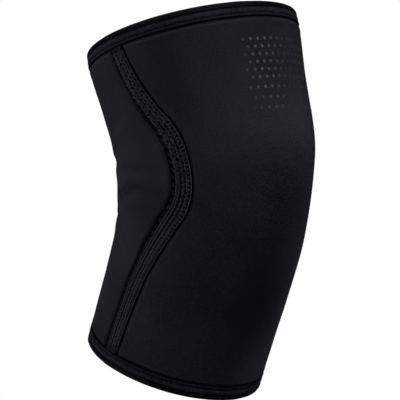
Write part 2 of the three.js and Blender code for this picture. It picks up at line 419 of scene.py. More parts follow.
def panel_painted_light_and_shade(turn, angle, places, from_seam, from_hem):
    """Painted shade lines along a panel's edges, painted highlights on the swellings beside them,
    and the patches of painted light and shade.
    """
    low = np.clip(-places / BEND_EASE, 0, 1)
    width, widening = SHADE_LINE_WIDTHS["back" if turn else "front"]
    ripple = RIPPLE + (LOW_RIPPLE - RIPPLE) * low
    ripple = ripple * np.sin(2 * math.pi * places / STITCH_PITCH)
    hollow = edge_share(from_seam, (width + widening * low) * (1 + ripple), power=2.6)
    hem_shade_line = HEM_SHADE_LINE * edge_share(from_hem, HEM_SHADE_LINE_WIDTH, power=1.6)
    hollow = np.maximum(hollow, hem_shade_line)
    pale, at, spread = HEM_PAINTED_HIGHLIGHT
    painted_highlights = pale * bell(from_hem - at, spread)
    if turn == 0:
        pale, at, spread = SEAM_PAINTED_HIGHLIGHT
        painted_highlights = painted_highlights + pale * bell(from_seam - at, spread)
    return hollow + (painted_light_patches(angle, places) - painted_highlights) * (1 - hollow)


def foam_panel(name, turn, middle_columns):
    """One foam panel. Its long edges follow the seams; turn is where its middle lies."""
    rim = np.concatenate([[HEM_INSIDE, HEM_EDGE - STEP_DOWN], HEM_EDGE + NEAR_EDGE])
    start = rim[-1]
    rows = round((LENGTH_ABOVE + LENGTH_BELOW - 2 * start) / ROW_STEP)
    middle = np.linspace(-LENGTH_BELOW + start, LENGTH_ABOVE - start, rows + 1)[1:-1]
    along = np.concatenate([-LENGTH_BELOW + rim, middle, (LENGTH_ABOVE - rim)[::-1]])
    seam, per_metre, half = seam_at(along)
    reach = seam if turn == 0 else math.pi - seam
    edge = half + CLEARANCE
    under = [np.full_like(edge, JOINT_GAP / 2), edge * 0.5, edge - STEP_DOWN]
    near = np.stack(under + [edge + step for step in NEAR_EDGE], -1)
    left = -reach[:, None] + near * per_metre[:, None]
    share = np.linspace(-1, 1, middle_columns + 1)[1:-1]
    centre = share[None, :] * -left[:, -1:]
    angle = np.concatenate([left, centre, -left[:, ::-1]], axis=1)
    places = np.broadcast_to(along[:, None], angle.shape)
    whole = turn + angle

    from_seam = (reach[:, None] - np.abs(angle)) / per_metre[:, None] - edge[:, None]
    from_hem = np.minimum(places + LENGTH_BELOW, LENGTH_ABOVE - places) - HEM_EDGE
    outer = surface(whole, places, panel_depth(turn, whole, places, from_seam, from_hem))
    inner = surface(whole, places, np.where(from_hem < 0, TONGUE_INNER, WALL))
    across = arc_lengths(outer, 1)
    across = across - across[:, across.shape[1] // 2][:, None]
    uv = np.stack([across, arc_lengths(outer, 0)], -1)
    hollow = panel_painted_light_and_shade(turn, whole, places, from_seam, from_hem)
    return sewn_body(name, *two_faced(outer, inner, uv, hollow))


class Nodes:
    """Lays out a node tree one short line at a time."""

    def __init__(self, tree):
        self.tree = tree

    def feed(self, socket, value):
        if isinstance(value, bpy.types.NodeSocket):
            self.tree.links.new(value, socket)
        elif value is not None:
            socket.default_value = value

    def add(self, kind, inputs=None, **settings):
        """Adds a node; inputs are sockets by name or number, and settings its own properties."""
        node = self.tree.nodes.new(kind)
        for key, value in settings.items():
            setattr(node, key, value)
        for key, value in (inputs or {}).items():
            self.feed(node.inputs[key], value)
        return node

    def math(self, operation, *values):
        return self.add("ShaderNodeMath", dict(enumerate(values)), operation=operation).outputs[0]


def named_group(name, kind, inputs, outputs):
    """An empty node group with its sockets."""
    tree = bpy.data.node_groups.new(name, kind)
    for label, socket_kind, value in inputs:
        socket = tree.interface.new_socket(name=label, in_out="INPUT", socket_type=socket_kind)
        if value is not None:
            socket.default_value = value
    for label, socket_kind in outputs:
        tree.interface.new_socket(name=label, in_out="OUTPUT", socket_type=socket_kind)
    return tree


def jersey_knit():
    """Columns of small V stitches: how high the yarn stands, and where the furrows are."""
    tree = named_group(
        "jersey knit",
        "ShaderNodeTree",
        [
            ("Cloth", "NodeSocketVector", None),
            ("Stitch Width", "NodeSocketFloat", 0.8 * MM),
            ("Stitch Height", "NodeSocketFloat", 0.7 * MM),
        ],
        [("Height", "NodeSocketFloat"), ("Furrow", "NodeSocketFloat")],
    )
    n = Nodes(tree)
    given = n.add("NodeGroupInput").outputs
    flat = n.add("ShaderNodeSeparateXYZ", {0: given["Cloth"]}).outputs
    wale = n.math("DIVIDE", flat["X"], given["Stitch Width"])
    course = n.math("DIVIDE", flat["Y"], given["Stitch Height"])
    arm = n.math("ABSOLUTE", n.math("SUBTRACT", n.math("FRACT", wale), 0.5))
    turn = n.math("MULTIPLY", n.math("ADD", course, arm), 2 * math.pi)
    loop = n.math("MULTIPLY_ADD", n.math("SINE", turn), 0.5, 0.5)
    ridge = n.math("SINE", n.math("MULTIPLY", arm, 2 * math.pi))
    height = n.math("MULTIPLY", n.math("MULTIPLY_ADD", loop, 0.65, 0.35), ridge)
    furrow = n.math("SUBTRACT", 1.0, ridge)
    n.add("NodeGroupOutput", {"Height": height, "Furrow": furrow})
    return tree


def dye_and_lint():
    """Slow unevenness of the dye, and specks of lint and yarn."""
    tree = named_group(
        "dye and lint",
        "ShaderNodeTree",
        [
            ("Place", "NodeSocketVector", None),
            ("Cloud Size", "NodeSocketFloat", 0.03),
            ("Speck Size", "NodeSocketFloat", 0.0011),
        ],
        [("Cloud", "NodeSocketFloat"), ("Speck", "NodeSocketFloat")],
    )
    n = Nodes(tree)
    given = n.add("NodeGroupInput").outputs
    broad = n.math("DIVIDE", 1.0, given["Cloud Size"])
    small = n.math("DIVIDE", 1.0, given["Speck Size"])
    cloud = n.add("ShaderNodeTexNoise", {"Vector": given["Place"], "Scale": broad, "Detail": 3.0})
    speck = n.add("ShaderNodeTexNoise", {"Vector": given["Place"], "Scale": small, "Detail": 2.0})
    n.add("NodeGroupOutput", {"Cloud": cloud.outputs[0], "Speck": speck.outputs[0]})
    return tree


KNIT = jersey_knit()
DYE = dye_and_lint()

# How strongly each thing shows in a cloth's colour, from 0 for deep yarn to 1 for raised yarn; the
# knit's furrows get painted shade
FURROW_SHADE_GAIN = 0.35
CLOUD_GAIN = 0.8
SPECK_GAIN = 2.4
# How far the hollow attribute's painted shade darkens a cloth, and the near-black it darkens towards
PAINTED_SHADE_GAIN = 0.96
PAINTED_SHADE_COLOUR = (0.0004, 0.0004, 0.0006, 1)

# How much lint roughens the finish and stands up from the knit, and what a hollow adds
SPECK_ROUGHNESS = 0.7
SPECK_HEIGHT = 2.0
HOLLOW_ROUGHNESS = 0.3


def bare_material(name):
    """A new material, and the layer of its still empty node tree."""
    material = bpy.data.materials.new(name)
    material.use_nodes = True
    material.node_tree.nodes.clear()
    return material, Nodes(material.node_tree)


def dye_at(n, sizes=None):
    """The cloud and the specks of the dye at each place on a piece."""
    place = {"Place": n.add("ShaderNodeTexCoord").outputs["Object"]}
    return n.add("ShaderNodeGroup", place | (sizes or {}), node_tree=DYE).outputs


def skinned(material, n, finish):
    """Ends a material's nodes with a skin of the given finish."""
    skin = n.add("ShaderNodeBsdfPrincipled", finish).outputs[0]
    n.add("ShaderNodeOutputMaterial", {"Surface": skin})
    return material


def black_cloth(name, deep, raised, stitch, relief, roughness, sheen, gloss):
    """A black cloth: its shades in the furrows and on the yarn, with painted shade in the furrows
    and the painted shade and light of the piece's hollow attribute, its stitch and its finish.
    """
    material, n = bare_material(name)
    cloth = n.add("ShaderNodeUVMap", uv_map="cloth").outputs[0]
    sizes = {"Cloth": cloth, "Stitch Width": stitch[0], "Stitch Height": stitch[1]}
    knit = n.add("ShaderNodeGroup", sizes, node_tree=KNIT).outputs
    dye = dye_at(n)
    # Painted shade in the knit's furrows; the dye's cloud and specks are the cloth's own tone
    yarn = n.math("MULTIPLY_ADD", knit["Furrow"], -FURROW_SHADE_GAIN, 1 - FURROW_SHADE_GAIN)
    clouded = n.math("MULTIPLY_ADD", dye["Cloud"], CLOUD_GAIN, -CLOUD_GAIN / 2)
    specked = n.math("MULTIPLY_ADD", dye["Speck"], SPECK_GAIN, -SPECK_GAIN / 2)
    # The hollow attribute: below 0 it is painted light that lifts the shade, above 0 painted shade
    # that darkens the colour
    painted_shade_and_light = n.add("ShaderNodeAttribute", attribute_name="hollow").outputs["Fac"]
    lifted = n.math("MULTIPLY", n.math("MINIMUM", painted_shade_and_light, 0.0), -1.0)
    shade = n.math("ADD", n.math("ADD", yarn, lifted), n.math("ADD", clouded, specked))
    colours = {0: shade, 6: (*deep, 1), 7: (*raised, 1)}
    face = n.add("ShaderNodeMix", colours, data_type="RGBA", clamp_factor=False).outputs[2]
    hollow = n.math("MAXIMUM", painted_shade_and_light, 0.0)
    shadowed = {0: n.math("MULTIPLY", hollow, PAINTED_SHADE_GAIN), 6: face, 7: PAINTED_SHADE_COLOUR}
    colour = n.add("ShaderNodeMix", shadowed, data_type="RGBA").outputs[2]
    lint = n.math("MULTIPLY", dye["Speck"], SPECK_HEIGHT)
    loft = n.math("ADD", knit["Height"], lint)
    smooth = roughness - SPECK_ROUGHNESS / 2
    rough = n.math("MULTIPLY_ADD", dye["Speck"], SPECK_ROUGHNESS, smooth)
    finish = {
        "Base Color": colour,
        "Normal": n.add("ShaderNodeBump", {"Distance": relief, "Height": loft}).outputs[0],
        "Roughness": n.math("MULTIPLY_ADD", hollow, HOLLOW_ROUGHNESS, rough),
        "Specular IOR Level": gloss,
        "Specular Tint": (0.88, 0.86, 1.0, 1),
        "Sheen Weight": sheen,
        "Sheen Roughness": 0.45,
        "Sheen Tint": (0.86, 0.86, 1.0, 1),
    }
    return skinned(material, n, finish)


jersey = black_cloth(
    "black jersey",
    deep=(0.0024, 0.0022, 0.0036),
    raised=(0.0212, 0.0200, 0.0256),
    stitch=(0.8 * MM, 0.7 * MM),
    relief=0.16 * MM,
    roughness=0.5,
    sheen=0.006,
    gloss=0.15,
)

front_panel = foam_panel("front_foam", 0, 130)
front_panel.data.materials.append(jersey)
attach(front_panel, "root")
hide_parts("front_panel")


# The back panel is the same foam and jersey, cut the other way round: wide beside the kneecap and
# narrow at the rims. The bend of the knee presses its creases.

back_panel = foam_panel("back_foam", math.pi, 165)
back_panel.data.materials.append(jersey)
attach(back_panel, "root")
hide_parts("back_panel")


# The seam bands are flat knitted tapes over the butted seams, held by rows of needle thread with
# looper thread laid across between them. Above the knee the bend lets the tape go slack, so it
# puckers; below the knee it is pulled smooth and its rows run as clean lines.

BAND_COLUMNS = 64
BAND_STEP = 0.45 * MM
EDGE_CROWDING = 0.9
LATTICE_PITCH = 4.6 * MM

# across from the front edge to the back edge, as shares of the half-width, and height in
# millimetres above the panels
BAND_PROFILE = [
    (-1.0, -0.8),
    (-0.97, 0.1),
    (-0.9, 0.55),
    (-0.8, 0.35),
    (-0.62, 0.5),
    (-0.45, 0.68),
    (-0.34, 0.66),
    (-0.27, 0.42),
    (-0.1, 0.6),
    (0.02, 0.5),
    (0.1, 0.08),
    (0.18, 0.4),
    (0.32, 0.66),
    (0.5, 0.55),
    (0.62, 0.62),
    (0.7, 0.38),
    (0.8, 0.6),
    (0.9, 0.5),
    (0.97, 0.0),
    (1.0, -0.8),
]

# Sunk lines between the ribs: across, half-width as a share, and the painted shade in them
BAND_GROOVES = [
    (-0.78, 0.08, 0.95),
    (-0.3, 0.07, 0.85),
    (0.12, 0.1, 1.0),
    (0.46, 0.06, 0.7),
    (0.74, 0.08, 0.95),
]

# Folds where the slack tape doubles up behind: along, across from where they deepen
BAND_FOLDS = [
    (0.037, -0.5),
    (0.052, 0.1),
    (0.022, 0.2),
]
FOLD_SLANT = 2.2 * MM
FOLD_WIDTH = 0.8 * MM

# Shares of the half-width: where the sunk stitches of the back edge lie, their width, and over
# what width the folds, the rungs and the rounded edges come in
PIT_AT = 0.86
PIT_WIDTH = 0.12
FOLD_EASE = 0.4
RUNG_EASE = 0.15
EDGE_EASE = 0.12

# Stretches of the band in metres along the leg: from, to, and over what length they fade
SLACK_PART = (0.012, 0.075, 0.020)
RUNG_PART = (-0.020, 0.030, 0.012)
PIT_PART = (-0.025, 0.080, 0.012)
LATTICE_PART = (0.014, 0.090, 0.015)
CROSSED_PART = (0.020, 0.090, 0.015)

# What is left of the crumples and the pits where the tape is taut, and how much of the painted shade
# in the sunk lines the crossed threads cover
TAUT_CRUMPLE = 0.12
TAUT_PIT = 0.35
LINES_COVERED = 0.8

# Heights on the band in millimetres
RUNG_HEIGHT = 0.18
LATTICE_HEIGHT = 0.3
PIT_DEPTH = 0.75
FOLD_DEPTH = 0.9

# How much painted shade the band's low parts get; of three numbers, the second is what stays
# unshaded and the third is the most
EDGE_PAINTED_SHADE = 1.2
EDGE_SHADOW = 0.5 * MM
PIT_PAINTED_SHADE = 1.4
FOLD_PAINTED_SHADE = 1.2
CRUMPLE_PAINTED_SHADE = (1.3, 0.1, 0.6)
RUNG_PAINTED_SHADE = (0.7, 0, 0.7)
LATTICE_PAINTED_SHADE = (4.0, 0.7, 1)
LATTICE_DRIFT = 0.9


def fade(along, low, high, reach):
    """1 between two places, falling to 0 over the reach beyond them."""
    return np.clip((along - low) / reach + 1, 0, 1) * np.clip((high - along) / reach + 1, 0, 1)


def shaded(relief, gain, spared, most):
    """Painted shade in the low parts of a relief, without the shallow ones."""
    return np.clip(-gain * relief - spared, 0, most)


def band_folds(across, along):
    """How deep the folds of the slack tape are, from 0 to 1."""
    depth = np.zeros_like(along)
    for at, reach in BAND_FOLDS:
        line = bell(along - at - FOLD_SLANT * across, FOLD_WIDTH)
        depth = depth + line * np.clip((across - reach) / FOLD_EASE, 0, 1)
    return depth


def band_lattice(across, along, half, place):
    """The looper thread laid both ways across the tape, from -1 to 1."""
    drift = LATTICE_DRIFT * uneven(place, 6 * MM, seed=33)
    one_way = np.sin(2 * math.pi * (along + across * half) / LATTICE_PITCH + drift)
    other_way = np.sin(2 * math.pi * (along - across * half) / LATTICE_PITCH - drift)
    return 0.5 * (one_way + other_way) * fade(along, *LATTICE_PART)


def band_relief(side, across, along):
    """Height of the band's face above the panels, and the painted shade at its edges and in its low
    parts.
    """
    seam, per_metre, half = seam_at(along)
    place = plain_point(side * (seam + across * half * per_metre), along)
    to_edge = 1 - np.abs(across)
    ribs = np.interp(across, [row[0] for row in BAND_PROFILE], [row[1] for row in BAND_PROFILE])

    crumple = 0.6 * uneven(place, 2.6 * MM, seed=3 + side) + 0.4 * uneven(place, 5.5 * MM, seed=8)
    crumple = crumple * (TAUT_CRUMPLE + (1 - TAUT_CRUMPLE) * fade(along, *SLACK_PART))
    wave = np.cos(2 * math.pi * along / STITCH_PITCH)
    rung = wave * fade(along, *RUNG_PART) * np.clip(-across / RUNG_EASE, 0, 1)
    beat = np.clip(np.cos(2 * math.pi * along / LATTICE_PITCH), 0, 1)
    pit = bell(across - PIT_AT, PIT_WIDTH) * beat
    pit = pit * (TAUT_PIT + (1 - TAUT_PIT) * fade(along, *PIT_PART))
    lattice = band_lattice(across, along, half, place)
    fold = band_folds(across, along)
    relief = crumple + RUNG_HEIGHT * rung + LATTICE_HEIGHT * lattice
    relief = relief - PIT_DEPTH * pit - FOLD_DEPTH * fold
    height = (ribs + relief * np.clip(to_edge / EDGE_EASE, 0, 1)) * MM

    # Painted shade at the band's edges, in its pits, folds and crumples, between rungs and lattice
    # threads, and in the sunk lines
    hollow = EDGE_PAINTED_SHADE * bell(to_edge * half, EDGE_SHADOW) + PIT_PAINTED_SHADE * pit + FOLD_PAINTED_SHADE * fold
    hollow = hollow + shaded(crumple, *CRUMPLE_PAINTED_SHADE)
    hollow = hollow + shaded(rung, *RUNG_PAINTED_SHADE) + shaded(lattice, *LATTICE_PAINTED_SHADE)
    lines = 1 - LINES_COVERED * fade(along, *CROSSED_PART)
    for centre, width, dark in BAND_GROOVES:
        hollow = hollow + dark * lines * bell(across - centre, width)
    return height, np.clip(hollow, 0, 1)


def seam_band(name, side):
    """The tape over one seam; its columns of points crowd towards its two edges."""
    low = -LENGTH_BELOW + HEM_EDGE
    high = LENGTH_ABOVE - HEM_EDGE
    along = np.linspace(low, high, round((high - low) / BAND_STEP) + 1)
    across = np.sin(np.linspace(-1, 1, BAND_COLUMNS) * math.pi / 2 * EDGE_CROWDING)
    across = across / across[-1]
    share, places = np.meshgrid(across, along)
    seam, per_metre, half = seam_at(places)
    angle = side * (seam + share * half * per_metre)
    height, hollow = band_relief(side, share, places)
    outer = surface(angle, places, -height)
    inner = surface(angle, places, np.full(angle.shape, BAND_THICKNESS - BAND_RISE))
    uv = np.stack([arc_lengths(outer, 1), arc_lengths(outer, 0)], -1)
    grids = two_faced(outer, inner, uv, hollow)
    if side < 0:
        grids = [grid[:, ::-1] for grid in grids]
    return sewn_body(name, *grids)


# A stitch's thread: steps along it, sides round it, how far its ends dip into the cloth as a share
# of its thickness, and how thin they are
THREAD_STEPS = 5
THREAD_SIDES = 6
STITCH_DIP = 0.9
THREAD_END = 0.55

# Spun thread: how large and how high its unevenness is, the shade of its low yarn, and its gloss
YARN_SIZE = 0.5 * MM
YARN_RELIEF = 0.05 * MM
LOW_YARN_SHADE = 0.6
THREAD_GLOSS = 0.15


def way_up(n):
    """The direction out of the surface that each point of a path carries."""
    given = {"Name": "up"}
    return n.add("GeometryNodeInputNamedAttribute", given, data_type="FLOAT_VECTOR").outputs[0]


def set_out(n, points, piece, facing, material):
    """A copy of a small piece on every point, turned as facing says, in its own material."""
    copies = {"Points": points, "Instance": piece, "Rotation": facing}
    put = n.add("GeometryNodeInstanceOnPoints", copies).outputs[0]
    real = n.add("GeometryNodeRealizeInstances", {"Geometry": put}).outputs[0]
    return n.add("GeometryNodeSetMaterial", {"Geometry": real, "Material": material}).outputs[0]


def row_of_stitches():
    """Thread stitches along a path, standing on the surface below it."""
    tree = named_group(
        "row of stitches",
        "GeometryNodeTree",
        [
            ("Path", "NodeSocketGeometry", None),
            ("Spacing", "NodeSocketFloat", STITCH_PITCH),
            ("Length", "NodeSocketFloat", 2.4 * MM),
            ("Thickness", "NodeSocketFloat", 0.5 * MM),
            ("Turn", "NodeSocketFloat", 0.0),
            ("Alternate", "NodeSocketFloat", 0.0),
            ("Lift", "NodeSocketFloat", 0.1 * MM),
            ("Wander", "NodeSocketFloat", 0.05),
            ("Seed", "NodeSocketInt", 1),
            ("Thread", "NodeSocketMaterial", None),
        ],
        [("Stitches", "NodeSocketGeometry")],
    )
    n = Nodes(tree)
    given = n.add("NodeGroupInput").outputs
    line = n.add("GeometryNodeMeshToCurve", {"Mesh": given["Path"]}).outputs[0]
    steps = {"Curve": line, "Length": given["Spacing"]}
    spaced = n.add("GeometryNodeResampleCurve", steps, mode="LENGTH")
    up = way_up(n)
    lift = n.add("ShaderNodeVectorMath", {0: up, "Scale": given["Lift"]}, operation="SCALE")
    raised = {"Geometry": spaced.outputs[0], "Offset": lift.outputs[0]}
    lifted = n.add("GeometryNodeSetPosition", raised)
    axes = {0: up, 1: n.add("GeometryNodeInputTangent").outputs[0]}
    facing = n.add("FunctionNodeAxesToRotation", axes, primary_axis="Z", secondary_axis="X")

    index = n.add("GeometryNodeInputIndex").outputs[0]
    odd = n.math("MULTIPLY", n.math("MODULO", index, 2.0), given["Alternate"])
    sign = n.math("MULTIPLY_ADD", odd, -2.0, 1.0)
    stray = n.add("FunctionNodeRandomValue", data_type="FLOAT")
    n.feed(stray.inputs[2], n.math("MULTIPLY", given["Wander"], -1.0))
    n.feed(stray.inputs[3], given["Wander"])
    n.feed(stray.inputs["Seed"], given["Seed"])
    angle = n.math("MULTIPLY_ADD", given["Turn"], sign, stray.outputs[1])
    spin = n.add("FunctionNodeAxisAngleToRotation", {"Axis": (0, 0, 1), "Angle": angle})
    turned = n.add("FunctionNodeRotateRotation", {0: facing.outputs[0], 1: spin.outputs[0]})
    turned.rotation_space = "LOCAL"

    reach = n.math("MULTIPLY", given["Length"], 0.5)
    back = n.math("MULTIPLY", reach, -1.0)
    dip = n.math("MULTIPLY", given["Thickness"], -STITCH_DIP)
    start = n.add("ShaderNodeCombineXYZ", {"X": back, "Z": dip}).outputs[0]
    middle = n.add("ShaderNodeCombineXYZ", {"Z": given["Thickness"]}).outputs[0]
    end = n.add("ShaderNodeCombineXYZ", {"X": reach, "Z": dip}).outputs[0]
    arch = {"Resolution": THREAD_STEPS, "Start": start, "Middle": middle, "End": end}
    thread = n.add("GeometryNodeCurveQuadraticBezier", arch)
    run = n.add("GeometryNodeSplineParameter").outputs["Factor"]
    belly = n.math("SINE", n.math("MULTIPLY", run, math.pi))
    radius = n.math("MULTIPLY_ADD", belly, 1 - THREAD_END, THREAD_END)
    tapered = n.add("GeometryNodeSetCurveRadius", {"Curve": thread.outputs[0], "Radius": radius})
    half = n.math("MULTIPLY", given["Thickness"], 0.5)
    ring = n.add("GeometryNodeCurvePrimitiveCircle", {"Resolution": THREAD_SIDES, "Radius": half})
    solid = n.add("GeometryNodeCurveToMesh", {"Curve": tapered.outputs[0], "Fill Caps": True})
    n.feed(solid.inputs["Profile Curve"], ring.outputs[0])

    sewn = set_out(n, lifted.outputs[0], solid.outputs[0], turned.outputs[0], given["Thread"])
    n.add("NodeGroupOutput", {"Stitches": sewn})
    return tree


STITCHES = row_of_stitches()


def path_object(points, ups, closed=False):
    """A line of edges whose points carry the direction out of the surface."""
    mesh = bpy.data.meshes.new("thread path")
    count = len(points)
    edges = [(i, (i + 1) % count) for i in range(count if closed else count - 1)]
    mesh.from_pydata(points.tolist(), edges, [])
    up = mesh.attributes.new("up", "FLOAT_VECTOR", "POINT")
    up.data.foreach_set("vector", ups.astype(np.float32).reshape(-1))
    return placed("thread path", mesh)


def grow(path, tree, **sizes):
    """Runs a tree of nodes on a path and gives back the plain mesh."""
    modifier = path.modifiers.new("making", "NODES")
    modifier.node_group = tree
    for item in tree.interface.items_tree:
        key = item.name.lower()
        if item.in_out == "INPUT" and key in sizes:
            modifier[item.identifier] = sizes[key]
    graph = bpy.context.evaluated_depsgraph_get()
    mesh = bpy.data.meshes.new_from_object(path.evaluated_get(graph))
    bpy.data.objects.remove(path)
    return mesh


def joined(name, meshes, material, smooth=True):
    """One piece out of several plain meshes."""
    points = []
    faces = []
    for mesh in meshes:
        start = len(points)
        points += [tuple(v.co) for v in mesh.vertices]
        faces += [[start + k for k in face.vertices] for face in mesh.polygons]
    whole = bpy.data.meshes.new(name)
    whole.from_pydata(points, [], faces)
    whole.polygons.foreach_set("use_smooth", np.full(len(faces), smooth))
    whole.materials.append(material)
    return placed(name, whole)


def spun_thread(name, colour, roughness):
    """Spun thread, with its yarn a little uneven in shade and height."""
    material, n = bare_material(name)
    speck = dye_at(n, {"Speck Size": YARN_SIZE})["Speck"]
    dull = tuple(LOW_YARN_SHADE * part for part in colour)
    colours = {0: speck, 6: (*dull, 1), 7: (*colour, 1)}
    finish = {
        "Base Color": n.add("ShaderNodeMix", colours, data_type="RGBA").outputs[2],
        "Normal": n.add("ShaderNodeBump", {"Distance": YARN_RELIEF, "Height": speck}).outputs[0],
        "Roughness": roughness,
        "Specular IOR Level": THREAD_GLOSS,
    }
    return skinned(material, n, finish)


tape = black_cloth(
    "black seam tape",
    deep=(0.0050, 0.0054, 0.0078),
    raised=(0.0520, 0.0545, 0.0720),
    stitch=(0.9 * MM, 0.7 * MM),
    relief=0.2 * MM,
    roughness=0.7,
    sheen=0.004,
    gloss=0.05,
)
seam_thread = spun_thread("black seam thread", (0.110, 0.114, 0.148), 0.5)

# The rows of one band: across, from and to in metres, turn in degrees, alternate, then spacing,
# length and thickness in millimetres
BAND_ROWS = [
    (-0.91, -0.118, 0.094, 0, 0, 2.4, 2.3, 0.50),
    (-0.46, -0.118, 0.094, 0, 0, 2.6, 2.2, 0.42),
    (0.29, -0.118, 0.094, 0, 0, 2.6, 2.2, 0.42),
    (0.6, -0.118, 0.094, 0, 0, 2.6, 2.2, 0.42),
    (-0.63, -0.030, 0.060, 90, 0, 2.9, 3.0, 0.42),
    (-0.1, -0.118, 0.008, 48, 1, 1.7, 1.9, 0.34),
    (-0.1, 0.010, 0.094, 45, 1, 1.7, 2.6, 0.34),
    (0.5, 0.004, 0.092, 45, 1, 1.7, 2.6, 0.34),
]

for word, side in (("left", -1), ("right", 1)):
    rows = []
    for number, (across, low, high, turn, alternate, spacing, length, thick) in enumerate(BAND_ROWS):
        along = np.arange(low, high, 0.5 * MM)
        seam, per_metre, half = seam_at(along)
        angle = side * (seam + across * half * per_metre)
        height = band_relief(side, np.full_like(along, across), along)[0]
        path = path_object(surface(angle, along, -height), outward(angle, along))
        sizes = {
            "spacing": spacing * MM,
            "length": length * MM,
            "thickness": thick * MM,
            "turn": math.radians(turn),
            "alternate": float(alternate),
            "lift": thick * 0.15 * MM,
            "wander": 0.12,
            "seed": 10 + number,
            "thread": seam_thread,
        }
        rows.append(grow(path, STITCHES, **sizes))
    threads = joined("seam_threads_" + word, rows, seam_thread)
    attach(threads, "root")

    band = seam_band("seam_tape_" + word, side)
    band.data.materials.append(tape)
    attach(band, "root")
    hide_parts("seam_band_" + word)


# The bindings are strips of thin stretch cloth folded over the rims, round at the lip, and held by
# two rows of stitching that sink into the foam and leave narrow grooves.

HEM_SEGMENTS = 700
HEM_NOSE = 2.6 * MM
NOSE_ROLL = 0.15 * MM
NOSE_STEPS = 12

# distance from the rim and height above the panels, in millimetres
HEM_PROFILE = [
    (11.5, -0.35),
    (11.35, 0.2),
    (10.7, 0.45),
    (10.0, 0.36),
    (9.5, 0.05),
    (9.1, -0.25),
    (8.7, 0.0),
    (8.2, 0.34),
    (7.2, 0.5),
    (6.2, 0.5),
    (5.6, 0.35),
    (5.2, 0.0),
    (4.85, -0.25),
    (4.5, 0.05),
    (4.0, 0.42),
    (3.3, 0.62),
]
HEM_ROWS = (4.85, 9.1)
THREAD_SUNK = 0.2 * MM

# How the folded cloth wavers, in millimetres high, and how wide the tug at a row and the lump at
# a seam are
COARSE_WAVER = 0.32
FINE_WAVER = 0.16
ROW_TUG = 0.12
TUG_WIDTH = 1.1 * MM
SEAM_LUMP = 0.4
LUMP_WIDTH = 5.5 * MM

# How much painted shade the sunk rows, the hollows and the lip get
ROW_PAINTED_SHADE = 1.1
ROW_LINE = 0.6 * MM
WAVER_PAINTED_SHADE = (1.6, 0.1, 0.5)
LIP_PART = (1.2 * MM, 4.0 * MM, 1.2 * MM)
LIP_PAINTED_SHADE = 0.65
LIP_UNEVEN = 0.4

# The point of the profile at which the cloth's length round the leg is measured
GIRTH_POINT = 4


HEM_TURN = np.arange(HEM_SEGMENTS) * 2 * math.pi / HEM_SEGMENTS


def hem_place(side, from_rim):
    """A place along the leg from its distance to the upper rim, side 1, or the lower one."""
    rim_at = LENGTH_ABOVE if side > 0 else -LENGTH_BELOW
    return rim_at - side * from_rim


def hem_waver(angle, along, from_rim):
    """Small unevenness of the folded cloth, the tug of each stitch, and the lump at each seam."""
    place = plain_point(angle, along)
    loose = COARSE_WAVER * uneven(place, 12 * MM, seed=21)
    loose = loose + FINE_WAVER * uneven(place, 3.5 * MM, seed=27)
    near_row = sum(bell(from_rim - row * MM, TUG_WIDTH) for row in HEM_ROWS)
    tug = ROW_TUG * near_row * np.sin(2 * math.pi * angle * KNEE_RADIUS / STITCH_PITCH)
    turn = np.abs((angle + math.pi) % (2 * math.pi) - math.pi)
    to_seam = (turn - seam_at(along)[0]) * KNEE_RADIUS
    lump = SEAM_LUMP * bell(to_seam, LUMP_WIDTH)
    return (loose + tug + lump) * MM


def hem_painted_shade(angle, along, from_rim, waver):
    """Painted shade in the sunk stitch rows, in the low parts of the waver and on the lip of a
    binding.
    """
    hollow = shaded(waver / MM, *WAVER_PAINTED_SHADE)
    for row in (*HEM_ROWS, HEM_HEIGHT / MM):
        hollow = hollow + ROW_PAINTED_SHADE * bell(from_rim - row * MM, ROW_LINE)
    patchy = uneven(plain_point(angle, along), BUMP_SIZE, seed=51)
    lip = fade(from_rim, *LIP_PART) * (LIP_PAINTED_SHADE + LIP_UNEVEN * patchy)
    return np.clip(hollow + lip, 0, 1)


def hem(name, side):
    """The binding of one rim: over the outer face, round the lip and up the inner face."""
    nose_half = (WALL + HEM_RISE) / 2
    nose_turn = np.linspace(0, math.pi, NOSE_STEPS + 1)
    nose_from = HEM_NOSE * (1 - np.sin(nose_turn))
    nose_depth = nose_half * (1 - np.cos(nose_turn)) - HEM_RISE
    nose_depth = nose_depth - NOSE_ROLL * np.cos(nose_turn / 2)
    nose_free = np.linspace(1, 0, NOSE_STEPS + 1)
    inside = [
        (HEM_HEIGHT * 0.5, WALL, 0.0),
        (HEM_HEIGHT, WALL, 0.0),
        (HEM_HEIGHT, WALL - BINDING, 0.0),
        (BINDING, WALL - BINDING, 0.0),
        (BINDING, BINDING - HEM_RISE, 0.0),
        (HEM_HEIGHT, BINDING - HEM_RISE, 0.0),
    ]
    profile = [(away * MM, -height * MM, 1.0) for away, height in HEM_PROFILE]
    profile += list(zip(nose_from, nose_depth, nose_free))
    away, depth, free = np.array(profile + inside).T
    angle, from_rim = np.meshgrid(HEM_TURN, away, indexing="ij")
    along = hem_place(side, from_rim)
    waver = hem_waver(angle, along, from_rim) * free
    rings = surface(angle, along, depth - waver)
    girth = rings[:, GIRTH_POINT]
    round_leg = arc_lengths(np.concatenate([girth, girth[:1]]), 0)
    over = arc_lengths(rings[:1], 1)[0]
    uv = np.stack(np.meshgrid(round_leg[:-1], over, indexing="ij"), -1)
    grids = [rings, uv, hem_painted_shade(angle, along, from_rim, waver) * free]
    if side > 0:
        grids = [grid[:, ::-1] for grid in grids]
    return sewn_body(name, *grids, round_length=round_leg[-1])


binding = black_cloth(
    "black binding",
    deep=(0.0044, 0.0041, 0.0060),
    raised=(0.0450, 0.0425, 0.0580),
    stitch=(0.7 * MM, 0.6 * MM),
    relief=0.14 * MM,
    roughness=0.6,
    sheen=0.004,
    gloss=0.06,
)
hem_thread = spun_thread("black hem thread", (0.011, 0.0105, 0.015), 0.55)

